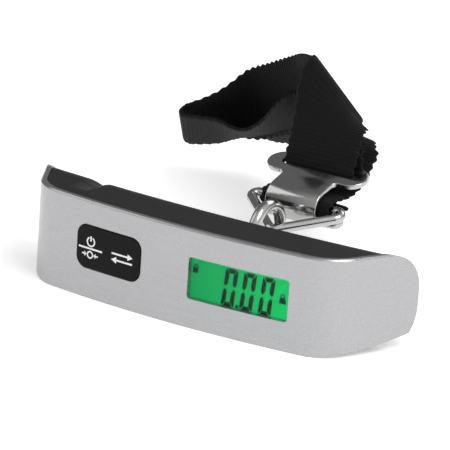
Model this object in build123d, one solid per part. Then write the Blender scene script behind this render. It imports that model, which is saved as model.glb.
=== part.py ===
"""Digital luggage scale: a curved handle with a display and keys, an eye bolt on a load beam,
a triangular ring, a webbing strap and a stamped hook that clips over the ring.

X runs along the handle, +Y from the display towards the strap, +Z up.
The origin is the middle of the handle's footprint on the surface it rests on. Millimetres.
"""

from build123d import *
import math
import os

os.makedirs("parts", exist_ok=True)

# ---- Handle ----
HEIGHT = 30.0
FRONT_Y = -14.0  # inside of the front skin on the middle line
BACK_Y = 12.9  # back of the handle on the middle line
SKIN = 1.8  # front shell thickness
FIT = 0.1  # gap between the two shells
WALL = 1.8  # rear housing thickness
TOP_STEP = 0.4  # the black top and back lie this far inside the shell's rim
RIM_CHAMFER = 0.5
FRONT_RADIUS = 333.6
FRONT_TURN = 7.44
CORNER_RADIUS = 13.3
CORNER_TURN = 54.6
CHEEK_LENGTH = 11.0
TAIL_RADIUS = 42.0
TAIL_TURN = 16.0
BACK_RADIUS = 543.0
GRIP_RADIUS = 12.5  # rounding of the back, top and bottom
GRIP_TURN = 12.0  # half the turn that the concave back is swept through
SWEEP_START = 45.0  # beyond this the underside sweeps up
SWEEP_RADIUS = 39.0

# ---- Front panel ----
DISPLAY_X = 22.0
DISPLAY_Z = 15.35
DISPLAY_WIDTH = 33.0
DISPLAY_HEIGHT = 12.7
KEY_X = -22.9
KEY_Z = 15.9
KEY_WIDTH = 23.8
KEY_HEIGHT = 13.6
KEY_CORNER = 3.7
KEY_GAP = 0.2
KEY_PROUD = 0.25

# ---- Load path ----
LOAD_Z = 15.5
SHANK_RADIUS = 2.2
EYE_Y = 36.5
EYE_RADIUS = 7.9
EYE_WIRE = 1.9
RING_WIRE = 1.6
RING_APEX = (40.0, 15.2)
BASE_ROD = (55.0, 20.0)
RING_CORNER = 19.0  # where the straight rods would meet beside the middle line
RING_BEND = 2.0
HOOK_SHEET = 1.6
HOOK_MID = 5.0
T_BAR = (65.0, 28.0)
T_LENGTH = 35.0
T_DEPTH = 10.4
NECK_WIDTH = 18.0
EAR_WIDTH = 28.0

# ---- Shells ----
INSET = TOP_STEP + WALL
DOOR_X = -39.65
DOOR_Y = 1.0
DOOR_GAP = 0.15
NOTCH_DEPTH = 1.35  # less than the wall, so that the notch stays closed
CASE_SCREWS = [(-4.0, 6.4), (-4.0, 24.2), (48.4, 7.0), (48.4, 23.0)]
CASE_SCREW_SHANK = 1.2
BOARD_SCREWS = [(-38.6, 15.0), (-4.0, 15.0), (44.6, 15.0)]
BOARD_SCREW_SHANK = 0.8
BOARD_FRONT = -6.4
BOARD_BACK = -5.2
PIN_Y = -10.6
PIN_RADIUS = 0.9
LUG_SPANS = [(4.6, 7.4), (24.4, 27.2)]

# ---- Load beam ----
BEAM_LEFT = -7.0
BEAM_RIGHT = 40.0
BEAM_FRONT = 0.5
BEAM_BACK = 9.5
BEAM_LOW = 9.7
BEAM_HIGH = 21.3
BEAM_SCREWS = [30.5, 37.0]
BEAM_SCREW_SHANK = 1.9
GAUGE_X = [10.5, 19.5]
GAUGE_HOLE = 3.6
GROMMET_RADIUS = 3.6

# ---- Display ----
LCD_TILT = math.degrees(math.asin(DISPLAY_X / FRONT_RADIUS))
LCD_WIDTH = 36.0
LCD_HEIGHT = 17.0
LCD_FRONT = 0.7
LCD_BACK = 2.3
LIGHT_BACK = 4.5
FRAME_WIDTH = 40.4
FRAME_HEIGHT = 21.0
PIN_COUNT = 12
PIN_PITCH = 2.8
FIRST_PIN_X = DISPLAY_X - 15.4
PIN_Z = DISPLAY_Z - 7.3

# ---- Board and keys ----
SWITCH_X = [KEY_X - 8.0, KEY_X + 8.0]
SWITCH_TOP = -9.7
KEY_TRAVEL_GAP = 0.35

# ---- Battery ----
CELL_X = -42.9
CELL_Z = 15.0
CELL_RADIUS = 10.0
CELL_FRONT = 3.0
CELL_BACK = 6.2

# ---- Strap ----
WEB_WIDTH = 25.0
WEB_THICK = 1.4
STRAP_STEPS = 3
LEAST_SLANT = 0.6  # sine of the smallest angle between a crease and the strap's direction
# Each station is the middle of the webbing and the direction of its width.
STRAP_ROUTE = [
    ((-0.9, 73.0, 38.0), (-25, -1, 2)),
    ((-0.5, 70.9, 34.0), (-25, -1, 0)),
    ((0, 71.1, 30.9), (-25, 0, 0)),
    ((0, 71.5, 29.2), (-25, 0, 0)),
    ((0, 70.7, 27.3), (-25, 0, 0)),
    ((0, 67.9, 26.5), (-25, 0, 0)),
    ((0, 66.0, 27.2), (-25, 0, 0)),
    ((0, 65.6, 29.0), (-25, 0, 0)),
    ((-0.2, 66.6, 31.6), (-25, -1, 0)),
    ((-0.5, 68.6, 35.5), (-25, -1, 0)),
    ((-1.5, 72.4, 41.0), (-25, -1, 2)),
    ((-2.4, 75.9, 46.3), (-22.3, -3, 11)),
    ((-3.0, 78.4, 49.3), (-19, -4, 20)),
    ((-4.0, 80.8, 50.0), (-19, -4, 20.5)),
    ((-7.0, 83.0, 49.0), (-18, -4, 20.5)),
    ((-14.5, 88.0, 46.0), (-14.5, -1, 22)),
    ((-25.5, 97.0, 40.8), (-10, 2, 23.5)),
    ((-38.5, 106.0, 34.2), (-6, -4, 23.6)),
    ((-52.0, 111.5, 28.0), (-2, -7, 24)),
    ((-60.7, 109.0, 24.0), (4, -14, 20.5)),
    ((-66.5, 105.2, 22.2), (7, -16.5, 17.5)),
    ((-70.4, 102.7, 21.2), (8.3, -17, 16)),
    ((-72.2, 100.6, 19.8), (8.5, -17.5, 15.5)),
    ((-70.7, 99.9, 18.3), (8.5, -17.5, 15.5)),
    ((-65.5, 101.3, 18.5), (9, -17.5, 15)),
    ((-60.0, 103.2, 19.0), (9.5, -18.5, 14)),
    ((-56.0, 104.5, 19.0), (11, -19.5, 11)),
    ((-52.3, 106.0, 19.4), (12, -20, 9.5)),
    ((-48.0, 107.0, 21.0), (11.5, -19.5, 10.5)),
    ((-42.5, 106.5, 23.8), (10, -19, 13)),
    ((-33.5, 103.0, 28.7), (7, -17, 16)),
    ((-24.0, 97.6, 31.4), (-2, -12, 22)),
    ((-14.0, 93.2, 34.6), (-9, -10, 20.5)),
    ((-9.4, 89.8, 36.3), (-19, -7, 13)),
    ((-7.0, 86.0, 35.6), (-24, -3, 4)),
    ((-4.0, 81.8, 33.4), (-25, -1, 0)),
    ((-0.6, 77.4, 30.2), (-25, 0, 0)),
    ((1.1, 72.0, 26.0), (-25, 0, 0)),
    ((0.8, 65.0, 22.9), (-25, 0, 0)),
    ((0, 58.0, 22.6), (-25, 0, 0)),
    ((0, 53.6, 22.4), (-25, 0, 0)),
    ((0, 52.1, 19.6), (-25, 0, 0)),
    ((0, 54.2, 17.3), (-25, 0, 0)),
    ((0, 58.0, 18.0), (-25, 0, 0)),
    ((0.3, 64.0, 19.2), (-25, 0, 1)),
]


def save(shape, name):
    shape.label = name
    export_step(shape, f"parts/{name}.step")


def at(x, y, z):
    return Pos(x, y, z)


def box(x0, x1, y0, y1, z0, z1):
    size = (x1 - x0, y1 - y0, z1 - z0)
    return at((x0 + x1) / 2, (y0 + y1) / 2, (z0 + z1) / 2) * Box(*size)


def rod_y(x, z, y0, y1, radius):
    return at(x, (y0 + y1) / 2, z) * Rot(90, 0, 0) * Cylinder(radius, y1 - y0)


def rod_z(x, y, z0, z1, radius):
    return at(x, y, (z0 + z1) / 2) * Cylinder(radius, z1 - z0)


def plan(out):
    """The handle's plan view, out millimetres outside the inside of the front skin."""
    with BuildLine() as half:
        front = JernArc((0, FRONT_Y - out), (1, 0), FRONT_RADIUS + out, FRONT_TURN)
        corner = JernArc(front @ 1, front % 1, CORNER_RADIUS + out, CORNER_TURN)
        cheek = Line(corner @ 1, corner @ 1 + (corner % 1) * CHEEK_LENGTH)
        tail = JernArc(cheek @ 1, cheek % 1, TAIL_RADIUS + out, TAIL_TURN)
        end = tail @ 1
        Line(end, end + (tail % 1) * 6)
        mirror(about=Plane.YZ)
    left = half.line.vertices().sort_by(Axis.X)[0]
    right = half.line.vertices().sort_by(Axis.X)[-1]
    with BuildSketch() as face:
        with BuildLine():
            add(half.line)
            Line((left.X, left.Y), (right.X, right.Y))
        make_face()
    return face.sketch


def prism(out, z0, z1):
    return at(0, 0, z0) * extrude(plan(out), amount=z1 - z0)


def grip(inset=0.0, low=0.0):
    """The rounded back: a D section, from low up, turned about the far centre of the concave back."""
    r = GRIP_RADIUS - inset
    top = HEIGHT - inset
    back = BACK_Y - inset
    with BuildSketch(Plane.YZ) as section:
        with BuildLine():
            Line((-30, low), (back - r, low))
            JernArc((back - r, low), (1, 0), r, 90)
            Line((back, low + r), (back, top - r))
            JernArc((back, top - r), (0, 1), r, 90)
            Line((back - r, top), (-30, top))
            Line((-30, top), (-30, low))
        make_face()
    far_centre = Axis((0, BACK_Y + BACK_RADIUS, 0), (0, 0, 1))
    return revolve(section.sketch, far_centre, 2 * GRIP_TURN).rotate(far_centre, -GRIP_TURN)


def underside(inset=0.0):
    """The front view: a flat underside that sweeps up towards both ends."""
    r = SWEEP_RADIUS - inset
    with BuildSketch(Plane.XZ) as view:
        with BuildLine() as side:
            flat = Line((0, inset), (SWEEP_START, inset))
            rise = JernArc(flat @ 1, (1, 0), r, 34)
            Line(rise @ 1, ((rise @ 1).X, HEIGHT + 5))
            Line(((rise @ 1).X, HEIGHT + 5), (0, HEIGHT + 5))
            mirror(about=Plane.YZ)
        make_face()
    return extrude(view.sketch, amount=60, both=True)


# ---- Building the shells ----


def front_y(x, out=0.0):
    return FRONT_Y - out + x * x / (2 * FRONT_RADIUS)


def back_y(x, z, inset=TOP_STEP):
    """The rounded back surface at a place seen from behind."""
    r = GRIP_RADIUS - inset
    middle = BACK_Y - GRIP_RADIUS + x * x / (2 * BACK_RADIUS)
    low = r - z
    high = z - (HEIGHT - GRIP_RADIUS)
    off = max(low, high, 0.0)
    return middle + math.sqrt(r * r - off * off)


def seat_y(x, z):
    """Where the head of a case screw sits."""
    return round(back_y(x, z) - 3.0, 1)


def panel_prism(x, z, width, height, corner, y0=-20.0, y1=-4.0):
    with BuildSketch(Plane.XZ) as outline:
        with Locations((x, z)):
            RectangleRounded(width, height, corner)
    return at(0, y1, 0) * extrude(outline.sketch, amount=y1 - y0)


def front_layer(out, back):
    return prism(out, 0, HEIGHT) - prism(back, -1, HEIGHT + 1)


def notch_cutter():
    """A V-shaped finger notch that runs round the back where the door meets the housing."""
    shift = DOOR_X * DOOR_X / (2 * BACK_RADIUS)
    back = BACK_Y + shift - TOP_STEP
    r = GRIP_RADIUS - TOP_STEP
    with BuildLine(Plane.YZ.offset(DOOR_X)) as path:
        Line((-6, 0), (back - r, 0))
        JernArc((back - r, 0), (1, 0), r, 90)
        Line((back, r), (back, HEIGHT - TOP_STEP - r))
        JernArc((back, HEIGHT - TOP_STEP - r), (0, 1), r, 90)
        Line((back - r, HEIGHT - TOP_STEP), (-6, HEIGHT - TOP_STEP))
    with BuildSketch(Plane((DOOR_X, 0, HEIGHT / 2), (1, 0, 0), (0, 0, 1))) as vee:
        with BuildLine():
            ThreePointArc((-7.0, back + 0.2), (-2.9, back - 0.3), (0, back - NOTCH_DEPTH))
            ThreePointArc((0, back - NOTCH_DEPTH), (1.8, back - 0.4), (4.2, back + 0.2))
            Line((4.2, back + 0.2), (4.2, back + 2))
            Line((4.2, back + 2), (-7.0, back + 2))
            Line((-7.0, back + 2), (-7.0, back + 0.2))
        make_face()
    return vee.sketch, path.wire()


def make_front_shell():
    outer = prism(SKIN, 0, HEIGHT)
    outer = chamfer(outer.faces().sort_by(Axis.Z)[-1].edges(), RIM_CHAMFER)
    shell = (outer & grip() & underside()) - prism(0, -1, HEIGHT + 1)
    for x, z in CASE_SCREWS:
        shell += rod_y(x, z, FRONT_Y, seat_y(x, z) - 2.0, 2.2) & prism(0.6, 0, HEIGHT)
        shell -= rod_y(x, z, -4, seat_y(x, z), CASE_SCREW_SHANK)
    for x, z in BOARD_SCREWS:
        shell += rod_y(x, z, front_y(x) - 0.6, BOARD_FRONT, 2.2)
        shell -= rod_y(x, z, -9.6, BOARD_FRONT + 1, BOARD_SCREW_SHANK)
    for low, high in LUG_SPANS:
        lug = box(KEY_X - 2, KEY_X + 2, front_y(KEY_X) - 0.6, PIN_Y + 1.9, low, high)
        shell += lug
    shell -= rod_z(KEY_X, PIN_Y, 5.0, 26.8, PIN_RADIUS)
    shell -= panel_prism(DISPLAY_X, DISPLAY_Z, DISPLAY_WIDTH, DISPLAY_HEIGHT, 1.0, -20, -10)
    shell -= panel_prism(KEY_X, KEY_Z, KEY_WIDTH, KEY_HEIGHT, KEY_CORNER, -20, -10)
    return shell


def housing_blank():
    return prism(-FIT, 0, HEIGHT) & grip(TOP_STEP) & underside()


def cavity():
    room = prism(-FIT - WALL, 0, HEIGHT) & grip(INSET, INSET) & underside(INSET)
    mouth = box(-53, 53, -20, -2, INSET, HEIGHT - INSET)
    return room + (mouth & underside(INSET))


def door_zone(grow=0.0):
    return box(-75, DOOR_X + grow, DOOR_Y - grow, 25, -5, HEIGHT + 5)


def make_housing_and_door():
    room = cavity() - box(27, 40, BEAM_BACK, 30, BEAM_LOW, BEAM_HIGH)
    for x, z in CASE_SCREWS:
        room -= rod_y(x, z, seat_y(x, z) - 1.5, 30, 2.8)
    room += rod_y(0, LOAD_Z, 8, 16, GROMMET_RADIUS)
    vee, path = notch_cutter()
    skin = housing_blank() - room - sweep(vee, path)
    door = skin & door_zone()
    housing = skin - door_zone(DOOR_GAP)
    for x, z in CASE_SCREWS:
        seat = seat_y(x, z)
        housing -= rod_y(x, z, seat, seat + 12, 2.3)
        housing -= rod_y(x, z, seat - 3, seat + 1, 1.35)
    for x in BEAM_SCREWS:
        housing -= rod_y(x, LOAD_Z, BEAM_BACK - 1, BEAM_BACK + 3.4, BEAM_SCREW_SHANK)
    return housing, door


# ---- Building the load path ----


def make_load_beam():
    beam = box(BEAM_LEFT, BEAM_RIGHT, BEAM_FRONT, BEAM_BACK, BEAM_LOW, BEAM_HIGH)
    middle_y = (BEAM_FRONT + BEAM_BACK) / 2
    for x in GAUGE_X:
        beam -= rod_z(x, middle_y, 0, 30, GAUGE_HOLE)
    beam -= box(GAUGE_X[0], GAUGE_X[1], middle_y - 1, middle_y + 1, 0, 30)
    for x in BEAM_SCREWS:
        beam -= rod_y(x, LOAD_Z, -5, 15, BEAM_SCREW_SHANK + 0.2)
    beam -= rod_y(0, LOAD_Z, -5, 15, SHANK_RADIUS + 0.05)
    return beam


def make_beam_screws():
    group = []
    for x in BEAM_SCREWS:
        head = rod_y(x, LOAD_Z, BEAM_FRONT - 2.4, BEAM_FRONT, 3.3)
        head -= box(x - 2.4, x + 2.4, -5, BEAM_FRONT - 1.4, LOAD_Z - 0.4, LOAD_Z + 0.4)
        group.append(head + rod_y(x, LOAD_Z, BEAM_FRONT, BEAM_BACK + 3.2, BEAM_SCREW_SHANK))
    return Compound(children=group)


def make_strain_gauges():
    group = []
    for x in GAUGE_X:
        group.append(box(x - 3, x + 3, BEAM_FRONT - 0.3, BEAM_FRONT, 13.5, 17.5))
        group.append(box(x - 3, x + 3, BEAM_BACK, BEAM_BACK + 0.3, 13.5, 17.5))
    return Compound(children=group)


def make_eye_bolt():
    ring = at(0, EYE_Y, LOAD_Z) * Rot(0, 90, 0) * Torus(EYE_RADIUS, EYE_WIRE)
    shank = rod_y(0, LOAD_Z, -4.4, EYE_Y - EYE_RADIUS, SHANK_RADIUS)
    collar = rod_y(0, LOAD_Z, 14.2, 15.6, 3.4)
    neck = at(0, 24.2, LOAD_Z) * Rot(-90, 0, 0) * Cone(2.2, 2.6, 6)
    return shank + ring + collar + neck


def make_eye_nut():
    nut = at(0, -0.3, LOAD_Z) * extrude(Plane.XZ * RegularPolygon(4.0, 6), amount=2.9)
    return nut - rod_y(0, LOAD_Z, -6, 3, SHANK_RADIUS + 0.02)


def make_washer():
    return rod_y(0, LOAD_Z, -0.3, BEAM_FRONT, 4.6) - rod_y(0, LOAD_Z, -3, 3, SHANK_RADIUS + 0.1)


def make_grommet():
    wall = back_y(0, LOAD_Z)
    ring = rod_y(0, LOAD_Z, wall - WALL - 0.2, wall + 1.1, GROMMET_RADIUS - 0.06)
    ring += rod_y(0, LOAD_Z, wall + 0.15, wall + 1.1, 5.2)
    return ring - rod_y(0, LOAD_Z, 0, 20, SHANK_RADIUS + 0.12)


# ---- Building the display ----


def in_display(shape):
    """Places a piece built round the display's middle, y counted from the inside of the skin."""
    return at(DISPLAY_X, front_y(DISPLAY_X), DISPLAY_Z) * Rot(0, 0, LCD_TILT) * shape


def slab(width, height, y0, y1, low=None):
    z0 = -height / 2 if low is None else low
    return box(-width / 2, width / 2, y0, y1, z0, height / 2)


def make_lcd_window():
    size = (DISPLAY_WIDTH - 0.1, DISPLAY_HEIGHT - 0.1, 0.95)
    return front_layer(SKIN, 0.3) & panel_prism(DISPLAY_X, DISPLAY_Z, *size, -20, -10)


def make_lcd_panel():
    return in_display(slab(LCD_WIDTH, LCD_HEIGHT, LCD_FRONT, LCD_BACK))


def make_backlight():
    return in_display(slab(LCD_WIDTH, LCD_HEIGHT, LCD_BACK, LIGHT_BACK, low=-5.8))


def make_backlight_leds():
    leds = []
    for side in (-1, 1):
        x = side * (LCD_WIDTH / 2 + 0.8)
        leds.append(in_display(box(x - 0.7, x + 0.7, 2.6, 4.4, -2, 2)))
    return Compound(children=leds)


def make_lcd_frame():
    frame = in_display(slab(FRAME_WIDTH, FRAME_HEIGHT, 0.8, 14))
    frame -= in_display(slab(LCD_WIDTH + 0.1, LCD_HEIGHT + 0.1, 0, LIGHT_BACK + 0.05))
    frame -= in_display(slab(LCD_WIDTH + 3.2, 5, 2.4, LIGHT_BACK + 0.05))
    frame -= in_display(slab(LCD_WIDTH - 3, LCD_HEIGHT - 0.6, 2, 20))
    return frame & box(-10, 60, -20, BOARD_FRONT, 0, HEIGHT)


def make_lcd_pins():
    pins = []
    for i in range(PIN_COUNT):
        x = FIRST_PIN_X + PIN_PITCH * i
        start = front_y(DISPLAY_X) + LCD_BACK / math.cos(math.radians(LCD_TILT))
        start += (x - DISPLAY_X) * math.tan(math.radians(LCD_TILT)) + 0.03
        pins.append(rod_y(x, PIN_Z, start, BOARD_BACK + 0.6, 0.25))
    return Compound(children=pins)


# ---- Building the board and keys ----


def make_circuit_board():
    board = box(-41, 47, BOARD_FRONT, BOARD_BACK, 4.2, 25.8)
    for x, z in BOARD_SCREWS:
        board -= rod_y(x, z, -8, -3, BOARD_SCREW_SHANK + 0.2)
    for x, z in CASE_SCREWS:
        board -= rod_y(x, z, -8, -3, 2.7)
    for i in range(PIN_COUNT):
        board -= rod_y(FIRST_PIN_X + PIN_PITCH * i, PIN_Z, -8, -3, 0.3)
    return board


def make_board_screws():
    group = []
    for x, z in BOARD_SCREWS:
        head = rod_y(x, z, BOARD_BACK, BOARD_BACK + 1.0, 1.7)
        head -= box(x - 1.2, x + 1.2, BOARD_BACK + 0.5, 0, z - 0.25, z + 0.25)
        group.append(head + rod_y(x, z, -9.4, BOARD_BACK, BOARD_SCREW_SHANK - 0.01))
    return Compound(children=group)


def make_controller_chip():
    chip = box(18, 28, BOARD_BACK, BOARD_BACK + 1.6, 16, 24)
    for i in range(8):
        x = 18.8 + 1.2 * i
        chip += box(x - 0.25, x + 0.25, BOARD_BACK, BOARD_BACK + 0.5, 15, 25)
    return chip


def make_key_switches():
    group = []
    for x in SWITCH_X:
        body = box(x - 3, x + 3, BOARD_FRONT - 2.4, BOARD_FRONT, KEY_Z - 3, KEY_Z + 3)
        group.append(body + rod_y(x, KEY_Z, SWITCH_TOP, BOARD_FRONT - 2, 1.6))
    return Compound(children=group)


def make_rocker_key():
    inner = (KEY_WIDTH - 2 * KEY_GAP, KEY_HEIGHT - 2 * KEY_GAP, KEY_CORNER - KEY_GAP)
    cap = front_layer(SKIN + KEY_PROUD, -0.6) & panel_prism(KEY_X, KEY_Z, *inner)
    outer = (KEY_WIDTH + 2.2, KEY_HEIGHT + 2.2, KEY_CORNER + 1.1)
    flange = front_layer(-0.55, -1.4) & panel_prism(KEY_X, KEY_Z, *outer)
    key = cap + flange
    key += box(KEY_X - 1.9, KEY_X + 1.9, -12.8, PIN_Y + 1.6, KEY_Z - 6.4, KEY_Z + 6.4)
    for x in SWITCH_X:
        key += rod_y(x, KEY_Z, front_y(x) + 1.0, SWITCH_TOP - KEY_TRAVEL_GAP, 1.4)
    return key - rod_z(KEY_X, PIN_Y, 0, 30, PIN_RADIUS + 0.05)


def make_key_pin():
    return rod_z(KEY_X, PIN_Y, 5.0, 26.8, PIN_RADIUS)


def make_case_screws():
    group = []
    for x, z in CASE_SCREWS:
        seat = seat_y(x, z)
        head = rod_y(x, z, seat, seat + 1.6, 2.1)
        head -= box(x - 1.4, x + 1.4, seat + 0.8, seat + 3, z - 0.3, z + 0.3)
        head -= box(x - 0.3, x + 0.3, seat + 0.8, seat + 3, z - 1.4, z + 1.4)
        group.append(head + rod_y(x, z, -3, seat, CASE_SCREW_SHANK - 0.01))
    return Compound(children=group)


# ---- Building the battery holder ----


def make_coin_cell():
    can = rod_y(CELL_X, CELL_Z, CELL_FRONT + 0.5, CELL_BACK, CELL_RADIUS)
    return can + rod_y(CELL_X, CELL_Z, CELL_FRONT, CELL_FRONT + 0.6, CELL_RADIUS - 1.3)


def make_battery_holder():
    cup = rod_y(CELL_X, CELL_Z, 1.5, CELL_BACK - 0.2, CELL_RADIUS + 0.9)
    cup -= rod_y(CELL_X, CELL_Z, 1.6, 10, CELL_RADIUS + 0.15)
    holder = box(-53.2, -31.2, 0.4, 1.6, 3.8, 26.6) + cup
    holder = holder & box(-53.8, -20, 0, 10, 0, 30)
    return holder - box(-36.4, -35.4, 0, 3, 13.4, 16.6)


def make_contact_negative():
    leaf = box(-47, -35.6, 1.65, 1.95, 13.6, 16.4)
    leaf += rod_z(CELL_X, 1.95, 13.6, 16.4, 1.03) & box(-50, -30, 1.8, 5, 0, 30)
    return leaf + box(-36.0, -35.6, BOARD_BACK + 0.02, 1.95, 13.6, 16.4)


def make_contact_positive():
    strip = box(-46, -29.6, CELL_BACK + 0.03, CELL_BACK + 0.43, 13, 17)
    return strip + box(-30, -29.6, BOARD_BACK + 0.02, CELL_BACK + 0.43, 13, 17)


def make_gauge_ribbon():
    return box(14, 16, BOARD_BACK + 0.02, BEAM_FRONT - 0.02, 15.2, 15.5)


# ---- Building the ring and hook ----


def make_delta_ring():
    by, bz = BASE_ROD
    reach = math.hypot(by - RING_APEX[0], bz - RING_APEX[1])
    past = RING_BEND * (math.sqrt(2) - 1)  # the bend cuts this much off a right-angled tip
    ay = RING_APEX[0] - (by - RING_APEX[0]) * past / reach
    az = RING_APEX[1] - (bz - RING_APEX[1]) * past / reach
    with BuildLine() as path:
        FilletPolyline(
            (0, ay, az),
            (RING_CORNER, by, bz),
            (-RING_CORNER, by, bz),
            radius=RING_BEND,
            close=True,
        )
    wire = path.wire()
    start = wire @ 0
    section = Plane(origin=start, z_dir=wire % 0) * Circle(RING_WIRE)
    return sweep(section, wire)


def hook_profile():
    """Side view of the stamped hook: flat tongue, round bend, short lip."""
    cy, cz = BASE_ROD
    ty, tz = T_BAR
    reach = math.hypot(ty - cy, tz - cz)
    slope = math.degrees(math.atan2(tz - cz, ty - cy) - math.asin(HOOK_MID / reach))
    run = (math.cos(math.radians(slope)), math.sin(math.radians(slope)))
    outer = HOOK_MID + HOOK_SHEET / 2
    inner = HOOK_MID - HOOK_SHEET / 2
    rear = math.sqrt(reach**2 - HOOK_MID**2) + T_DEPTH / 2
    lip_angle = 280.0
    lip_length = 4.6
    lip_run = (math.cos(math.radians(lip_angle - 270)), math.sin(math.radians(lip_angle - 270)))

    def spot(radius, degrees):
        a = math.radians(degrees)
        return (cy + radius * math.cos(a), cz + radius * math.sin(a))

    def along(point, direction, length):
        return (point[0] + direction[0] * length, point[1] + direction[1] * length)

    top_out = spot(outer, 90 + slope)
    top_in = spot(inner, 90 + slope)
    low_out = spot(outer, lip_angle)
    low_in = spot(inner, lip_angle)
    sweep_angle = lip_angle - 90 - slope
    with BuildSketch(Plane.YZ) as profile:
        with BuildLine():
            Line(along(top_out, run, rear), top_out)
            CenterArc((cy, cz), outer, 90 + slope, sweep_angle)
            Line(low_out, along(low_out, lip_run, lip_length))
            Line(along(low_out, lip_run, lip_length), along(low_in, lip_run, lip_length))
            Line(along(low_in, lip_run, lip_length), low_in)
            CenterArc((cy, cz), inner, lip_angle, -sweep_angle)
            Line(top_in, along(top_in, run, rear))
            Line(along(top_in, run, rear), along(top_out, run, rear))
        make_face()
    return profile.sketch


def make_j_hook():
    sheet = extrude(hook_profile(), amount=T_LENGTH / 2, both=True)
    ty, tz = T_BAR
    by, bz = BASE_ROD
    with BuildSketch() as blank:
        with Locations((0, ty)):
            SlotOverall(T_LENGTH, T_DEPTH)
        with Locations((0, (ty + by) / 2 - 4)):
            Rectangle(NECK_WIDTH, ty - by + 8)
        fillet(blank.vertices().filter_by(lambda v: 58 < v.Y < 62), 1.6)
        with Locations((0, ty + 0.6)):
            RectangleRounded(WEB_WIDTH + 1.6, 3.4, 1.2, mode=Mode.SUBTRACT)
    upper = at(0, 0, bz) * extrude(blank.sketch, amount=20)
    with BuildSketch() as ears:
        with Locations((0, by)):
            Rectangle(NECK_WIDTH, 16)
        with Locations((0, by + 2.4)):
            RectangleRounded(EAR_WIDTH, 6.2, 2.9)
    lower = at(0, 0, bz - 10) * extrude(ears.sketch, amount=10)
    return sheet & (upper + lower)


# ---- Building the strap ----


def hermite(points, i, t):
    """Catmull-Rom: a smooth value between point i and the next."""
    p0 = points[max(i - 1, 0)]
    p1 = points[i]
    p2 = points[i + 1]
    p3 = points[min(i + 2, len(points) - 1)]
    value = []
    for a, b, c, d in zip(p0, p1, p2, p3):
        m1 = (c - a) / 2
        m2 = (d - b) / 2
        h = b * (2 * t**3 - 3 * t**2 + 1) + m1 * (t**3 - 2 * t**2 + t)
        value.append(h + c * (3 * t**2 - 2 * t**3) + m2 * (t**3 - t**2))
    return Vector(*value)


def strap_sections():
    """The four corners of the webbing's cross-section at each sample, cut along the creases."""
    middles = [place for place, _ in STRAP_ROUTE]
    widths = [width for _, width in STRAP_ROUTE]
    samples = []
    for i in range(len(STRAP_ROUTE) - 1):
        for k in range(STRAP_STEPS):
            samples.append((hermite(middles, i, k / STRAP_STEPS), hermite(widths, i, k / STRAP_STEPS)))
    samples.append((Vector(*middles[-1]), Vector(*widths[-1])))
    sections = []
    for i, (middle, width) in enumerate(samples):
        ahead = samples[min(i + 1, len(samples) - 1)][0] - samples[max(i - 1, 0)][0]
        across = width.normalized()
        normal = ahead.normalized().cross(across)
        slant = max(normal.length, LEAST_SLANT)
        half = across * (WEB_WIDTH / 2 / slant)
        rise = normal.normalized() * (WEB_THICK / 2)
        left = middle + half
        right = middle - half
        sections.append([left + rise, right + rise, right - rise, left - rise])
    return sections


def triangle(a, b, c):
    return Face(Wire.make_polygon([a, b, c], close=True))


def make_strap():
    sections = strap_sections()
    faces = []
    for a, b in zip(sections, sections[1:]):
        for i in range(4):
            j = (i + 1) % 4
            faces.append(triangle(a[i], b[i], b[j]))
            faces.append(triangle(a[i], b[j], a[j]))
    for end in (sections[0], sections[-1]):
        faces.append(triangle(end[0], end[1], end[2]))
        faces.append(triangle(end[0], end[2], end[3]))
    return Solid(Shell(faces))


def main():
    housing, door = make_housing_and_door()
    save(make_front_shell(), "front_shell")
    save(housing, "rear_housing")
    save(door, "battery_door")
    save(make_lcd_window(), "lcd_window")
    save(make_lcd_panel(), "lcd_panel")
    save(make_backlight(), "backlight_panel")
    save(make_backlight_leds(), "backlight_leds")
    save(make_lcd_frame(), "lcd_frame")
    save(make_lcd_pins(), "lcd_pins")
    save(make_circuit_board(), "circuit_board")
    save(make_controller_chip(), "controller_chip")
    save(make_key_switches(), "key_switches")
    save(make_board_screws(), "board_screws")
    save(make_rocker_key(), "rocker_key")
    save(make_key_pin(), "key_pivot_pin")
    save(make_case_screws(), "case_screws")
    save(make_load_beam(), "load_beam")
    save(make_beam_screws(), "beam_screws")
    save(make_strain_gauges(), "strain_gauges")
    save(make_gauge_ribbon(), "gauge_ribbon")
    save(make_eye_bolt(), "eye_bolt")
    save(make_eye_nut(), "eye_nut")
    save(make_washer(), "eye_washer")
    save(make_grommet(), "eye_grommet")
    save(make_coin_cell(), "coin_cell")
    save(make_battery_holder(), "battery_holder")
    save(make_contact_negative(), "contact_negative")
    save(make_contact_positive(), "contact_positive")
    save(make_delta_ring(), "delta_ring")
    save(make_j_hook(), "j_hook")
    save(make_strap(), "strap")


main()
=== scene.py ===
"""The looks of the digital luggage scale: strap, stamped hook, display, markings, materials and studio."""

import math

import bmesh
import bpy
from mathutils import Matrix, Vector


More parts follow.
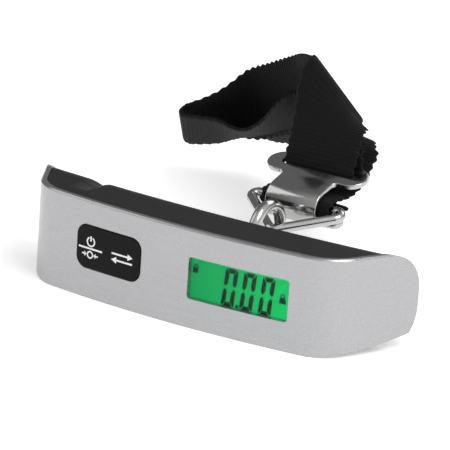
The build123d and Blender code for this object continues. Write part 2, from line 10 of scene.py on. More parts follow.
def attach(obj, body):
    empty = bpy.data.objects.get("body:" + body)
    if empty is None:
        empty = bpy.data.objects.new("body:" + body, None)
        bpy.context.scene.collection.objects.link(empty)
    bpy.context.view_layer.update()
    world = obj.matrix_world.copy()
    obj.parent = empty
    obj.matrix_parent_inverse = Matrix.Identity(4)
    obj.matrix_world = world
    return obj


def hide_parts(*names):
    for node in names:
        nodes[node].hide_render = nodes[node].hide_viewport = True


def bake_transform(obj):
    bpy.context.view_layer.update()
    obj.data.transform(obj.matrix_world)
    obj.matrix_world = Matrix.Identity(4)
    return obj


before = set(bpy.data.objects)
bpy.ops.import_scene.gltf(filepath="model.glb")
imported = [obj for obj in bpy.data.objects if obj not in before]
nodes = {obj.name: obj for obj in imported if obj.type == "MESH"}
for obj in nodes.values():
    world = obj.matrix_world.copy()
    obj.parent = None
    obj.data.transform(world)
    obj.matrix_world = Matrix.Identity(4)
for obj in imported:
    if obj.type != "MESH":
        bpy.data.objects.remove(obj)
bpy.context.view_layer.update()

MM = 0.001

# ---- Camera ----
AIM = Vector((-0.0108, 0.030, 0.0163))
CAMERA_DISTANCE = 1.097
CAMERA_TURN = math.radians(31.21)
CAMERA_TILT = math.radians(18.37)
CAMERA_ROLL = math.radians(4.0)
CAMERA_LENS = 290.0

# ---- Front panel, millimetres in the CAD frame ----
FRONT_Y = -14.0
FRONT_RADIUS = 333.6
DISPLAY_X = 22.0
DISPLAY_Z = 15.35
LCD_FRONT = 0.7
LCD_TILT = math.asin(DISPLAY_X / FRONT_RADIUS)
KEY_X = -22.9
KEY_Z = 15.9
KEY_FACE = 2.05  # the key's face, outside the inside of the skin

# ---- Display digits, millimetres from the display's middle ----
DIGIT_X = (-3.75, 2.3, 8.4)
DIGIT_HALF = 2.1
DIGIT_HEIGHT = 11.7
DIGIT_SLANT = 0.09
DIGIT_STROKE = 1.4
DIGIT_Z = -0.9
DIGIT_GAP = 0.22
MARK_THICKNESS = 0.03

# ---- Stamped hook, millimetres in the CAD frame ----
HOOK_SHEET = 1.6
HOOK_MID = 5.0
BASE_ROD = (55.0, 20.0)
T_BAR = (65.0, 28.0)
T_LENGTH = 35.0
T_DEPTH = 10.4
NECK_WIDTH = 18.0
EAR_WIDTH = 28.0
LIP_ANGLE = 280.0
LIP_LENGTH = 4.6
SLOT_WIDTH = 25.0
SLOT_DEPTH = 3.4
EDGE_ROUND = 0.35
NECK_FILLET = 1.6
EAR_DEPTH = 5.6
EAR_FILLET = 1.0
EAR_ROUND = 2.4
SLOT_SHIFT = 0.6  # how far the slot lies beyond the middle of the T-shaped end
SLOT_ROUND = 1.2
BEND_CUTS = 40
SHARP_ANGLE = 35.0

# ---- Strap ----
WEB_WIDTH = 25.0
WEB_THICK = 1.4
RIB_PITCH = 1.4
RIB_DEPTH = 0.13
SCALLOP_PITCH = 3.1
SCALLOP_DEPTH = 0.6
STRAP_COLUMNS = 14
STRAP_STEP = 0.2
FINE_STEPS = 24  # samples between two stations of the route, before they are evened out
EDGE_FULLNESS = 0.55  # crowds the columns towards the selvages
EDGE_SLOPE = 9  # how soon the webbing reaches its full thickness
LEAST_SLANT = 0.6  # sine of the smallest angle between a crease and the strap's direction
STRAP_ROUTE = [
    ((-0.9, 73.0, 38.0), (-25, -1, 2)),
    ((-0.5, 70.9, 34.0), (-25, -1, 0)),
    ((0, 71.1, 30.9), (-25, 0, 0)),
    ((0, 71.5, 29.2), (-25, 0, 0)),
    ((0, 70.7, 27.3), (-25, 0, 0)),
    ((0, 67.9, 26.5), (-25, 0, 0)),
    ((0, 66.0, 27.2), (-25, 0, 0)),
    ((0, 65.6, 29.0), (-25, 0, 0)),
    ((-0.2, 66.6, 31.6), (-25, -1, 0)),
    ((-0.5, 68.6, 35.5), (-25, -1, 0)),
    ((-1.5, 72.4, 41.0), (-25, -1, 2)),
    ((-2.4, 75.9, 46.3), (-22.3, -3, 11)),
    ((-3.0, 78.4, 49.3), (-19, -4, 20)),
    ((-4.0, 80.8, 50.0), (-19, -4, 20.5)),
    ((-7.0, 83.0, 49.0), (-18, -4, 20.5)),
    ((-14.5, 88.0, 46.0), (-14.5, -1, 22)),
    ((-25.5, 97.0, 40.8), (-10, 2, 23.5)),
    ((-38.5, 106.0, 34.2), (-6, -4, 23.6)),
    ((-52.0, 111.5, 28.0), (-2, -7, 24)),
    ((-60.7, 109.0, 24.0), (4, -14, 20.5)),
    ((-66.5, 105.2, 22.2), (7, -16.5, 17.5)),
    ((-70.4, 102.7, 21.2), (8.3, -17, 16)),
    ((-72.2, 100.6, 19.8), (8.5, -17.5, 15.5)),
    ((-70.7, 99.9, 18.3), (8.5, -17.5, 15.5)),
    ((-65.5, 101.3, 18.5), (9, -17.5, 15)),
    ((-60.0, 103.2, 19.0), (9.5, -18.5, 14)),
    ((-56.0, 104.5, 19.0), (11, -19.5, 11)),
    ((-52.3, 106.0, 19.4), (12, -20, 9.5)),
    ((-48.0, 107.0, 21.0), (11.5, -19.5, 10.5)),
    ((-42.5, 106.5, 23.8), (10, -19, 13)),
    ((-33.5, 103.0, 28.7), (7, -17, 16)),
    ((-24.0, 97.6, 31.4), (-2, -12, 22)),
    ((-14.0, 93.2, 34.6), (-9, -10, 20.5)),
    ((-9.4, 89.8, 36.3), (-19, -7, 13)),
    ((-7.0, 86.0, 35.6), (-24, -3, 4)),
    ((-4.0, 81.8, 33.4), (-25, -1, 0)),
    ((-0.6, 77.4, 30.2), (-25, 0, 0)),
    ((1.1, 72.0, 26.0), (-25, 0, 0)),
    ((0.8, 65.0, 22.9), (-25, 0, 0)),
    ((0, 58.0, 22.6), (-25, 0, 0)),
    ((0, 53.6, 22.4), (-25, 0, 0)),
    ((0, 52.1, 19.6), (-25, 0, 0)),
    ((0, 54.2, 17.3), (-25, 0, 0)),
    ((0, 58.0, 18.0), (-25, 0, 0)),
    ((0.3, 64.0, 19.2), (-25, 0, 1)),
]

# ---- Studio ----
WORLD_BRIGHT_SIDE = (0.8, -0.45, 0.4)
WORLD_DARK = (0.22, 0.22, 0.22)
WORLD_LIGHT = (1.0, 1.0, 1.0)
WORLD_STRENGTH = 0.85
FLOOR_GLOW = 0.4
FLOOR_REACH = 4000  # half the floor's side, millimetres
LIGHT_AIM = Vector((0, 0.03, 0.015))
LIGHTS = [  # name, place and size in metres, watts
    ("key_light", (0.55, -0.15, 0.75), (0.5, 0.5), 3.6),
    ("fill_light", (-0.7, -0.3, 0.6), (0.6, 0.6), 1.2),
    ("back_light", (0.1, 0.9, 0.7), (0.9, 0.5), 2.6),
]


# ---- Materials ----
class Shader:
    """A Principled material and the few helpers that its node tree needs."""

    def __init__(self, name, color, roughness, metallic=0.0):
        self.material = bpy.data.materials.new(name)
        self.material.use_nodes = True
        self.tree = self.material.node_tree
        self.main = self.tree.nodes["Principled BSDF"]
        self.put(self.main, "Base Color", (*color, 1.0))
        self.put(self.main, "Roughness", roughness)
        self.put(self.main, "Metallic", metallic)

    def put(self, node, socket, value):
        node.inputs[socket].default_value = value

    def link(self, source, output, target, socket):
        self.tree.links.new(source.outputs[output], target.inputs[socket])

    def node(self, kind):
        return self.tree.nodes.new(kind)

    def noise(self, scale, detail=3.0, stretch=(1, 1, 1)):
        """Noise over the object's own coordinates, with scale in features per metre."""
        coords = self.node("ShaderNodeTexCoord")
        mapping = self.node("ShaderNodeMapping")
        self.put(mapping, "Scale", stretch)
        texture = self.node("ShaderNodeTexNoise")
        self.put(texture, "Scale", scale)
        self.put(texture, "Detail", detail)
        self.link(coords, "Object", mapping, "Vector")
        self.link(mapping, "Vector", texture, "Vector")
        return texture

    def vary(self, texture, socket, low, high):
        """Drives a scalar socket of the main shader from low to high by a texture."""
        spread = self.node("ShaderNodeMapRange")
        self.put(spread, "From Min", 0.3)
        self.put(spread, "From Max", 0.7)
        self.put(spread, "To Min", low)
        self.put(spread, "To Max", high)
        self.link(texture, "Fac", spread, "Value")
        self.link(spread, "Result", self.main, socket)

    def tint(self, texture, dark, light):
        """Colours the surface from dark to light by a texture."""
        ramp = self.node("ShaderNodeValToRGB")
        ramp.color_ramp.elements[0].color = (*dark, 1.0)
        ramp.color_ramp.elements[0].position = 0.35
        ramp.color_ramp.elements[1].color = (*light, 1.0)
        ramp.color_ramp.elements[1].position = 0.65
        self.link(texture, "Fac", ramp, "Fac")
        self.link(ramp, "Color", self.main, "Base Color")

    def surface(self, texture, strength, depth, edge=0.0):
        """Bump from a texture, over edges rounded by the given radius in metres."""
        bump = self.node("ShaderNodeBump")
        self.put(bump, "Strength", strength)
        self.put(bump, "Distance", depth)
        self.link(texture, "Fac", bump, "Height")
        if edge:
            bevel = self.node("ShaderNodeBevel")
            bevel.samples = 4
            self.put(bevel, "Radius", edge)
            self.link(bevel, "Normal", bump, "Normal")
        self.link(bump, "Normal", self.main, "Normal")


def brushed_silver():
    """Silver lacquer with fine lines along the handle."""
    s = Shader("brushed_silver", (0.41, 0.41, 0.42), 0.3, 0.9)
    lines = s.noise(6000, 2.0, (0.012, 0.3, 1.0))
    s.tint(lines, (0.40, 0.40, 0.41), (0.435, 0.435, 0.445))
    s.vary(lines, "Roughness", 0.24, 0.31)
    s.surface(lines, 0.03, 0.00003, 0.00025)
    return s.material


def fine_plastic(name, color, roughness=0.46):
    """Moulded plastic with a fine spark-eroded grain."""
    s = Shader(name, color, roughness)
    grain = s.noise(5200, 2.0)
    s.put(s.main, "Specular IOR Level", 0.22)
    s.vary(grain, "Roughness", roughness - 0.05, roughness + 0.06)
    s.surface(grain, 0.12, 0.00006, 0.00025)
    return s.material


def polished_black():
    s = Shader("polished_black", (0.004, 0.004, 0.0045), 0.09)
    s.put(s.main, "Specular IOR Level", 0.12)
    wave = s.noise(160, 1.0)
    s.surface(wave, 0.03, 0.0002, 0.0003)
    return s.material


def nickel(name, color=(0.50, 0.495, 0.49), roughness=0.14):
    """Bright plating with faint polishing marks."""
    s = Shader(name, color, roughness, 1.0)
    marks = s.noise(1500, 4.0, (1.0, 0.25, 1.0))
    s.vary(marks, "Roughness", roughness - 0.04, roughness + 0.07)
    s.surface(marks, 0.04, 0.00004, 0.00012)
    return s.material


def plain_metal(name, color, roughness):
    s = Shader(name, color, roughness, 1.0)
    grain = s.noise(2500, 3.0, (0.2, 1.0, 1.0))
    s.vary(grain, "Roughness", roughness - 0.06, roughness + 0.08)
    s.surface(grain, 0.06, 0.00005, 0.0001)
    return s.material


def plain_moulding(name, color, roughness):
    s = Shader(name, color, roughness)
    grain = s.noise(1800, 3.0)
    shade = [0.9 * c for c in color]
    s.tint(grain, shade, color)
    s.vary(grain, "Roughness", roughness - 0.05, roughness + 0.05)
    s.surface(grain, 0.05, 0.00005, 0.0001)
    return s.material


def lit_display():
    """The green display, brighter to the right where its light is nearer."""
    s = Shader("lit_display", (0.0, 0.02, 0.01), 0.35)
    s.put(s.main, "Specular IOR Level", 0.05)
    coords = s.node("ShaderNodeTexCoord")
    parts = s.node("ShaderNodeSeparateXYZ")
    s.link(coords, "Object", parts, "Vector")
    across = s.node("ShaderNodeMapRange")
    s.put(across, "From Min", (DISPLAY_X - 17) * MM)
    s.put(across, "From Max", (DISPLAY_X + 17) * MM)
    s.link(parts, "X", across, "Value")
    ramp = s.node("ShaderNodeValToRGB")
    ramp.color_ramp.elements[0].color = (0.001, 0.30, 0.075, 1)
    ramp.color_ramp.elements[1].color = (0.0, 0.53, 0.11, 1)
    s.link(across, "Result", ramp, "Fac")
    s.link(ramp, "Color", s.main, "Emission Color")
    s.put(s.main, "Emission Strength", 1.0)
    return s.material


def clear_window():
    """A thin clear window: see-through, with a clear reflection."""
    material = bpy.data.materials.new("clear_window")
    material.use_nodes = True
    tree = material.node_tree
    tree.nodes.remove(tree.nodes["Principled BSDF"])
    clear = tree.nodes.new("ShaderNodeBsdfTransparent")
    gloss = tree.nodes.new("ShaderNodeBsdfGlossy")
    gloss.inputs["Roughness"].default_value = 0.08
    mix = tree.nodes.new("ShaderNodeMixShader")
    mix.inputs["Fac"].default_value = 0.008
    tree.links.new(clear.outputs["BSDF"], mix.inputs[1])
    tree.links.new(gloss.outputs["BSDF"], mix.inputs[2])
    tree.links.new(mix.outputs["Shader"], tree.nodes["Material Output"].inputs["Surface"])
    return material


def printed(name, color, glow=0.0):
    s = Shader(name, color, 0.5)
    s.put(s.main, "Specular IOR Level", 0.1)
    ink = s.noise(3000, 2.0)
    s.tint(ink, [0.93 * c for c in color], color)
    if glow:
        s.put(s.main, "Emission Color", (*color, 1))
        s.put(s.main, "Emission Strength", glow)
    return s.material


def webbing():
    """Black polypropylene webbing: weft ribs in the mesh, yarns and fuzz in the surface."""
    s = Shader("webbing", (0.0045, 0.0045, 0.0048), 0.8)
    s.put(s.main, "Sheen Weight", 0.04)
    s.put(s.main, "Sheen Roughness", 0.5)
    s.put(s.main, "Specular IOR Level", 0.15)
    uv = s.node("ShaderNodeUVMap")
    uv.uv_map = "weave"
    yarns = s.node("ShaderNodeTexWave")
    yarns.wave_type = "BANDS"
    yarns.bands_direction = "X"
    s.put(yarns, "Scale", 0.32)
    s.put(yarns, "Distortion", 1.2)
    s.put(yarns, "Detail", 2.0)
    s.put(yarns, "Detail Scale", 2.0)
    s.link(uv, "UV", yarns, "Vector")
    fuzz = s.noise(3500, 4.0)
    blend = s.node("ShaderNodeMath")
    blend.operation = "MULTIPLY_ADD"
    s.put(blend, 1, 0.5)
    s.link(yarns, "Fac", blend, 0)
    s.link(fuzz, "Fac", blend, 2)
    bump = s.node("ShaderNodeBump")
    s.put(bump, "Strength", 0.5)
    s.put(bump, "Distance", 0.00025)
    s.link(blend, "Value", bump, "Height")
    s.link(bump, "Normal", s.main, "Normal")
    s.tint(fuzz, (0.003, 0.003, 0.0032), (0.008, 0.008, 0.0085))
    return s.material


NICKEL = nickel("nickel")
STEEL = plain_metal("zinc_steel", (0.62, 0.62, 0.63), 0.3)
BLACK = fine_plastic("black_plastic", (0.014, 0.014, 0.015))
RUBBER = plain_moulding("rubber", (0.02, 0.02, 0.02), 0.75)
CHIP = plain_moulding("chip", (0.03, 0.03, 0.03), 0.5)
NODE_MATERIALS = {
    "front_shell": brushed_silver(),
    "rear_housing": BLACK,
    "battery_door": BLACK,
    "battery_holder": BLACK,
    "lcd_window": clear_window(),
    "lcd_panel": lit_display(),
    "backlight_panel": plain_moulding("light_guide", (0.7, 0.9, 0.8), 0.2),
    "backlight_leds": plain_moulding("led_white", (0.85, 0.85, 0.8), 0.3),
    "lcd_frame": plain_moulding("white_frame", (0.7, 0.7, 0.68), 0.5),
    "lcd_pins": NICKEL,
    "circuit_board": plain_moulding("solder_mask", (0.01, 0.12, 0.04), 0.35),
    "controller_chip": CHIP,
    "key_switches": CHIP,
    "board_screws": STEEL,
    "case_screws": STEEL,
    "beam_screws": STEEL,
    "key_pivot_pin": STEEL,
    "rocker_key": polished_black(),
    "load_beam": plain_metal("milled_aluminium", (0.78, 0.78, 0.79), 0.35),
    "strain_gauges": plain_moulding("gauge_film", (0.55, 0.28, 0.08), 0.4),
    "gauge_ribbon": plain_moulding("ribbon", (0.5, 0.25, 0.07), 0.45),
    "eye_bolt": NICKEL,
    "eye_nut": NICKEL,
    "eye_washer": NICKEL,
    "eye_grommet": RUBBER,
    "coin_cell": plain_metal("cell_can", (0.75, 0.75, 0.73), 0.22),
    "contact_negative": NICKEL,
    "contact_positive": NICKEL,
    "delta_ring": NICKEL,
    "j_hook": NICKEL,
    "strap": webbing(),
}


def paint_nodes():
    for name, material in NODE_MATERIALS.items():
        mesh = nodes[name].data
        mesh.materials.clear()
        mesh.materials.append(material)


# ---- Mesh helpers ----
def make_object(name, vertices, faces, material, smooth=True):
    """A mesh object from points in millimetres."""
    mesh = bpy.data.meshes.new(name)
    mesh.from_pydata([Vector(v) * MM for v in vertices], [], faces)
    mesh.materials.append(material)
    if smooth:
        mesh.shade_smooth()
    piece = bpy.data.objects.new(name, mesh)
    bpy.context.scene.collection.objects.link(piece)
    return piece


def applied(piece):
    """Replaces a curve or a modified mesh with its final mesh."""
    bpy.context.view_layer.update()
    final = bpy.data.meshes.new_from_object(piece.evaluated_get(bpy.context.evaluated_depsgraph_get()))
    name = piece.name
    bpy.data.objects.remove(piece)
    result = bpy.data.objects.new(name, final)
    bpy.context.scene.collection.objects.link(result)
    return result


# ---- Building the strap ----
def hermite(points, i, t):
    """Catmull-Rom: a smooth value between point i and the next."""
    p0 = Vector(points[max(i - 1, 0)])
    p1 = Vector(points[i])
    p2 = Vector(points[i + 1])
    p3 = Vector(points[min(i + 2, len(points) - 1)])
    m1 = (p2 - p0) / 2
    m2 = (p3 - p1) / 2
    start = p1 * (2 * t**3 - 3 * t**2 + 1) + m1 * (t**3 - 2 * t**2 + t)
    return start + p2 * (3 * t**2 - 2 * t**3) + m2 * (t**3 - t**2)


def strap_line():
    """Even stations along the strap: middle, direction of the width, distance from the first end."""
    middles = [place for place, _ in STRAP_ROUTE]
    widths = [width for _, width in STRAP_ROUTE]
    raw = []
    for i in range(len(STRAP_ROUTE) - 1):
        for k in range(FINE_STEPS):
            t = k / FINE_STEPS
            raw.append((hermite(middles, i, t), hermite(widths, i, t)))
    raw.append((Vector(middles[-1]), Vector(widths[-1])))
    stations = []
    travelled = 0.0
    wanted = 0.0
    for (a, wa), (b, wb) in zip(raw, raw[1:]):
        gap = (b - a).length
        while gap > 0 and wanted <= travelled + gap:
            t = (wanted - travelled) / gap
            stations.append((a.lerp(b, t), wa.lerp(wb, t), wanted))
            wanted += STRAP_STEP
        travelled += gap
    return stations, travelled


def strap_profile(along):
    """The ribbed section at a distance along: (place across, height) pairs round the webbing."""
    rib = math.cos(2 * math.pi * along / RIB_PITCH)
    scallop = math.cos(2 * math.pi * along / SCALLOP_PITCH)
    half_width = WEB_WIDTH / 2 - SCALLOP_DEPTH * (0.5 - 0.5 * scallop)
    half_thick = WEB_THICK / 2 - RIB_DEPTH * (0.5 - 0.5 * rib)
    top = []
    for i in range(STRAP_COLUMNS + 1):
        turn = math.pi * i / STRAP_COLUMNS
        across = math.cos(turn)
        across = math.copysign(abs(across) ** EDGE_FULLNESS, across)
        edge = min(1.0, (1 - abs(across)) * EDGE_SLOPE)
        top.append((across * half_width, half_thick * math.sqrt(edge * (2 - edge))))
    bottom = [(x, -h) for x, h in reversed(top[1:-1])]
    return top + bottom


def make_strap():
    stations, length = strap_line()
    vertices = []
    uvs = []
    count = 2 * STRAP_COLUMNS
    for i, (middle, width, along) in enumerate(stations):
        ahead = stations[min(i + 1, len(stations) - 1)][0] - stations[max(i - 1, 0)][0]
        ahead.normalize()
        across = width.normalized()
        normal = ahead.cross(across)
        slant = max(normal.length, LEAST_SLANT)
        normal.normalize()
        for x, h in strap_profile(along):
            vertices.append(middle + across * (x / slant) + normal * h)
            uvs.append((x, along))
    faces = []
    for i in range(len(stations) - 1):
        for k in range(count):
            a = i * count + k
            b = i * count + (k + 1) % count
            faces.append((a, a + count, b + count, b))
    faces.append(tuple(range(count)))
    last = (len(stations) - 1) * count
    faces.append(tuple(last + k for k in reversed(range(count))))
    strap = make_object("strap_webbing", vertices, faces, NODE_MATERIALS["strap"])
    layer = strap.data.uv_layers.new(name="weave")
    for loop in strap.data.loops:
        layer.data[loop.index].uv = uvs[loop.vertex_index]
    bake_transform(strap)
    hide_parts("strap")
    return strap


# ---- Flat marks: display segments and key legends ----
def marks(name, outlines, place, material, body, slot):
    """Thin closed pads, each an outline in the panel's own plane, set on the panel by place()."""
    vertices = []
    faces = []
    for outline in outlines:
        first = len(vertices)
        n = len(outline)
        for lift in (0.0, MARK_THICKNESS):
            vertices += [place(x, z, lift) for x, z in outline]
        faces.append(tuple(first + k for k in reversed(range(n))))
        faces.append(tuple(first + n + k for k in range(n)))
        for k in range(n):
            j = (k + 1) % n
            faces.append((first + k, first + j, first + n + j, first + n + k))
    piece = make_object(name, vertices, faces, material, smooth=False)
    fix_normals(piece)
    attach(piece, body)
    return piece


def fix_normals(piece):
    mesh = bmesh.new()
    mesh.from_mesh(piece.data)
    bmesh.ops.recalc_face_normals(mesh, faces=mesh.faces)
    mesh.to_mesh(piece.data)
    mesh.free()


def ring_outline(x, z, outer, inner, start, stop, steps=28):
    """An open band from one angle to another, in degrees."""
    turns = [math.radians(start + (stop - start) * i / steps) for i in range(steps + 1)]
    out = [(x + outer * math.cos(a), z + outer * math.sin(a)) for a in turns]
    back = [(x + inner * math.cos(a), z + inner * math.sin(a)) for a in reversed(turns)]
    return out + back


def bar(x0, z0, x1, z1, width):
    """A straight bar between two points."""
    dx, dz = x1 - x0, z1 - z0
    size = math.hypot(dx, dz)
    nx, nz = -dz / size * width / 2, dx / size * width / 2
    return [(x0 + nx, z0 + nz), (x0 - nx, z0 - nz), (x1 - nx, z1 - nz), (x1 + nx, z1 + nz)]


def on_display(x, z, lift):
    y = LCD_FRONT - 0.01 - lift
    turn = Matrix.Rotation(LCD_TILT, 3, "Z")
    middle = Vector((DISPLAY_X, FRONT_Y + DISPLAY_X**2 / (2 * FRONT_RADIUS), DISPLAY_Z))
    return middle + turn @ Vector((x, y, z))


def on_key(x, z, lift):
    """Points on the curved face of the key."""
    radius = FRONT_RADIUS + KEY_FACE
    px = KEY_X + x
    centre = FRONT_Y + FRONT_RADIUS
    return Vector((px, centre - math.sqrt(radius**2 - px**2) - lift, KEY_Z + z))


def digit_zero(x, z):
    """The six lit segments of a slanted seven-segment 0, its middle at x, z."""
    w = DIGIT_HALF
    h = DIGIT_HEIGHT / 2
    t = DIGIT_STROKE
    g = DIGIT_GAP
    segments = []
    for up in (1, -1):
        cap = [(-w + g + 0.35, h), (w - g - 0.35, h), (w - t * 0.9, h - t), (-w + t * 0.9, h - t)]
        segments.append([(a, up * b) for a, b in cap])
        for side in (-1, 1):
            limb = [(w, h - 0.55), (w - 0.3, h - 0.25), (w - t, h - t - g)]
            limb += [(w - t, t), (w - t / 2, g), (w, t * 0.7)]
            segments.append([(side * a, up * b) for a, b in limb])
    return [[(x + a + DIGIT_SLANT * b, z + b) for a, b in outline] for outline in segments]


def make_display_marks():
    outlines = []
    for x in DIGIT_X:
        outlines += digit_zero(x, DIGIT_Z)
    outlines.append([(-1.5, -6.5), (-0.6, -6.5), (-0.5, -5.6), (-1.4, -5.6)])
    outlines += [
        [(12.4, -1.9), (14.8, -1.9), (14.4, 0.1), (12.8, 0.1)],
        ring_outline(13.6, 0.35, 0.8, 0.42, -20, 200, 16),
        [(-16.1, 1.2), (-14.3, 1.2), (-14.3, 3.0), (-16.1, 3.0)],
        ring_outline(-15.2, 3.1, 0.8, 0.42, 0, 180, 14),
    ]
    ink = printed("display_ink", (0.004, 0.028, 0.014))
    marks("display_marks", outlines, on_display, ink, "handle", "display_glass")


def make_key_legends():
    outlines = [
        ring_outline(-6.5, 1.75, 1.6, 1.12, 118, 422),
        bar(-6.5, 1.9, -6.5, 3.5, 0.55),
        bar(-11.0, -0.4, -2.1, -0.4, 0.55),
        ring_outline(-6.6, -2.3, 1.2, 0.75, 0, 360, 32),
        bar(-9.6, -2.3, -8.6, -2.3, 0.45),
        [(-8.7, -1.5), (-7.9, -2.3), (-8.7, -3.1)],
        bar(-3.6, -2.3, -4.6, -2.3, 0.45),
        [(-4.5, -1.5), (-5.3, -2.3), (-4.5, -3.1)],
        bar(1.4, 0.4, 7.4, 0.4, 0.55),
        [(7.2, 1.4), (9.1, 0.4), (7.2, -0.6)],
        bar(9.0, -1.5, 3.0, -1.5, 0.55),
        [(3.2, -0.5), (1.3, -1.5), (3.2, -2.5)],
    ]
    ink = printed("white_ink", (0.86, 0.86, 0.86))
    marks("key_legends", outlines, on_key, ink, "key", "gloss_key")


# ---- Building the stamped hook ----
def hook_flat_outline():
    """On the flat blank, the middle of the T-shaped end and the end of the bend, from the bend's start."""
    bend = math.radians(LIP_ANGLE - 90 - hook_slope()) * HOOK_MID
    dy = T_BAR[0] - BASE_ROD[0]
    dz = T_BAR[1] - BASE_ROD[1]
    return -math.sqrt(dy**2 + dz**2 - HOOK_MID**2), bend


def hook_slope():
    """The tongue's slope, degrees above level."""
    dy = T_BAR[0] - BASE_ROD[0]
    dz = T_BAR[1] - BASE_ROD[1]
    return math.degrees(math.atan2(dz, dy) - math.asin(HOOK_MID / math.hypot(dy, dz)))


def quarter(x, s, radius, start, steps=8):
    """A quarter turn round x, s, anticlockwise from the start angle in degrees."""
    turns = [math.radians(start + 90 * i / steps) for i in range(steps + 1)]
    return [(x + radius * math.cos(a), s + radius * math.sin(a)) for a in turns]


def blank_loop():
    """The outline of the flat blank as a closed loop of points."""
    bar_at, bend = hook_flat_outline()
    end = bend + LIP_LENGTH
    half_neck = NECK_WIDTH / 2
    front = bar_at + T_DEPTH / 2
    ear_start = end - EAR_DEPTH
    ear_centre = EAR_WIDTH / 2 - EAR_ROUND
    side = list(reversed(quarter(half_neck + NECK_FILLET, front + NECK_FILLET, NECK_FILLET, 180)))
    side.append((half_neck, ear_start - EAR_FILLET))
    side += reversed(quarter(half_neck + EAR_FILLET, ear_start - EAR_FILLET, EAR_FILLET, 90, 6))
    side += quarter(ear_centre, ear_start + EAR_ROUND, EAR_ROUND, -90)
    side += quarter(ear_centre, end - EAR_ROUND, EAR_ROUND, 0)
    tip = T_LENGTH / 2 - T_DEPTH / 2
    cap = []
    for i in range(25):
        a = math.radians(-90 + 180 * i / 24)
        cap.append((tip + T_DEPTH / 2 * math.cos(a), bar_at - T_DEPTH / 2 * math.sin(a)))
    half = list(reversed(side)) + cap
    return half + [(-x, s) for x, s in reversed(half)]


def slot_loop():
    """The outline of the slot that the webbing passes through."""
    bar_at, _ = hook_flat_outline()
    across = SLOT_WIDTH / 2 - SLOT_ROUND
    deep = SLOT_DEPTH / 2 - SLOT_ROUND
    middle = bar_at - SLOT_SHIFT
    loop = []
    for sx, ss, start in ((1, 1, 0), (-1, 1, 90), (-1, -1, 180), (1, -1, 270)):
        loop += quarter(sx * across, middle + ss * deep, SLOT_ROUND, start, 5)
    return loop


def bent(point):
    """Folds a point of the flat blank, (across, along, height), round the base rod."""
    x, s, h = point
    _, bend = hook_flat_outline()
    slope = math.radians(hook_slope())
    radius = HOOK_MID + h
    held = min(max(s, 0.0), bend)
    angle = math.radians(90) + slope + held / HOOK_MID
    y = BASE_ROD[0] + radius * math.cos(angle)
    z = BASE_ROD[1] + radius * math.sin(angle)
    run = s - held
    y += run * math.cos(angle + math.pi / 2)
    z += run * math.sin(angle + math.pi / 2)
    return Vector((x, y, z))


def make_hook():
    curve = bpy.data.curves.new("hook_plate", "CURVE")
    curve.dimensions = "2D"
    curve.fill_mode = "BOTH"
    curve.extrude = HOOK_SHEET / 2 - EDGE_ROUND
    curve.bevel_depth = EDGE_ROUND
    curve.bevel_resolution = 3
    curve.offset = -EDGE_ROUND
    for loop in (blank_loop(), slot_loop()):
        spline = curve.splines.new("POLY")
        spline.points.add(len(loop) - 1)
        for point, (x, s) in zip(spline.points, loop):
            point.co = (x, s, 0, 1)
        spline.use_cyclic_u = True
    flat = bpy.data.objects.new("hook_plate", curve)
    bpy.context.scene.collection.objects.link(flat)
    plate = applied(flat)
    mesh = bmesh.new()
    mesh.from_mesh(plate.data)
    bmesh.ops.remove_doubles(mesh, verts=mesh.verts, dist=1e-4)
    _, bend = hook_flat_outline()
    for i in range(BEND_CUTS + 1):
        at = (0, bend * i / BEND_CUTS, 0)
        every = mesh.verts[:] + mesh.edges[:] + mesh.faces[:]
        bmesh.ops.bisect_plane(mesh, geom=every, dist=1e-5, plane_co=at, plane_no=(0, 1, 0))
    for vertex in mesh.verts:
        vertex.co = bent(vertex.co) * MM
    bmesh.ops.recalc_face_normals(mesh, faces=mesh.faces)
    mesh.to_mesh(plate.data)
    mesh.free()
    plate.data.materials.clear()
    plate.data.materials.append(NICKEL)
    plate.data.shade_smooth()
    plate.data.set_sharp_from_angle(angle=math.radians(SHARP_ANGLE))
    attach(plate, "hook")
    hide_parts("j_hook")


# ---- Building the studio ----
def area_light(name, place, size, power):
    """A rectangular light aimed at the middle of the object."""
    data = bpy.data.lights.new(name, "AREA")
    data.shape = "RECTANGLE"
    data.size, data.size_y = size
    data.energy = power
    light = bpy.data.objects.new(name, data)
    light.location = place
    light.rotation_euler = (LIGHT_AIM - Vector(place)).to_track_quat("-Z", "Y").to_euler()
    bpy.context.scene.collection.objects.link(light)


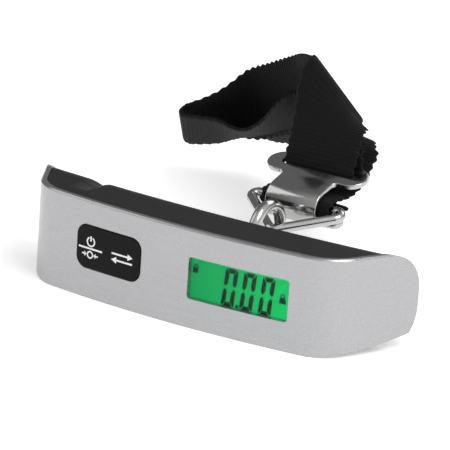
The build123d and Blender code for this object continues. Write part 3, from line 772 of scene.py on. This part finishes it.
def make_studio():
    white = Shader("floor_white", (0.93, 0.93, 0.93), 0.9)
    grain = white.noise(20, 2.0)
    white.vary(grain, "Roughness", 0.85, 0.95)
    white.put(white.main, "Emission Color", (1, 1, 1, 1))
    white.put(white.main, "Emission Strength", FLOOR_GLOW)
    corners = [(x * FLOOR_REACH, y * FLOOR_REACH, 0) for x, y in ((-1, -1), (1, -1), (1, 1), (-1, 1))]
    floor = make_object("floor", corners, [(0, 1, 2, 3)], white.material)
    for light in LIGHTS:
        area_light(*light)
    world = bpy.data.worlds.new("studio")
    world.use_nodes = True
    tree = world.node_tree
    coords = tree.nodes.new("ShaderNodeTexCoord")
    facing = tree.nodes.new("ShaderNodeVectorMath")
    facing.operation = "DOT_PRODUCT"
    facing.inputs[1].default_value = WORLD_BRIGHT_SIDE
    ramp = tree.nodes.new("ShaderNodeValToRGB")
    ramp.color_ramp.elements[0].position = 0.0
    ramp.color_ramp.elements[0].color = (*WORLD_DARK, 1)
    ramp.color_ramp.elements[1].position = 0.75
    ramp.color_ramp.elements[1].color = (*WORLD_LIGHT, 1)
    tree.links.new(coords.outputs["Generated"], facing.inputs[0])
    tree.links.new(facing.outputs["Value"], ramp.inputs["Fac"])
    tree.links.new(ramp.outputs["Color"], tree.nodes["Background"].inputs["Color"])
    tree.nodes["Background"].inputs["Strength"].default_value = WORLD_STRENGTH
    bpy.context.scene.world = world
    bpy.context.scene.view_settings.view_transform = "Standard"


def make_camera():
    t, e, r = CAMERA_TURN, CAMERA_TILT, CAMERA_ROLL
    ahead = Vector((-math.sin(t) * math.cos(e), math.cos(t) * math.cos(e), -math.sin(e)))
    level = Vector((math.cos(t), math.sin(t), 0))
    up = level.cross(ahead)
    right = level * math.cos(r) + up * math.sin(r)
    top = up * math.cos(r) - level * math.sin(r)
    data = bpy.data.cameras.new("camera")
    data.lens = CAMERA_LENS
    data.sensor_width = 36.0
    camera = bpy.data.objects.new("camera", data)
    axes = Matrix((right, top, -ahead)).transposed().to_4x4()
    camera.matrix_world = Matrix.Translation(AIM - ahead * CAMERA_DISTANCE) @ axes
    bpy.context.scene.collection.objects.link(camera)
    bpy.context.scene.camera = camera


make_camera()
make_studio()
paint_nodes()
make_strap()
make_hook()
make_display_marks()
make_key_legends()
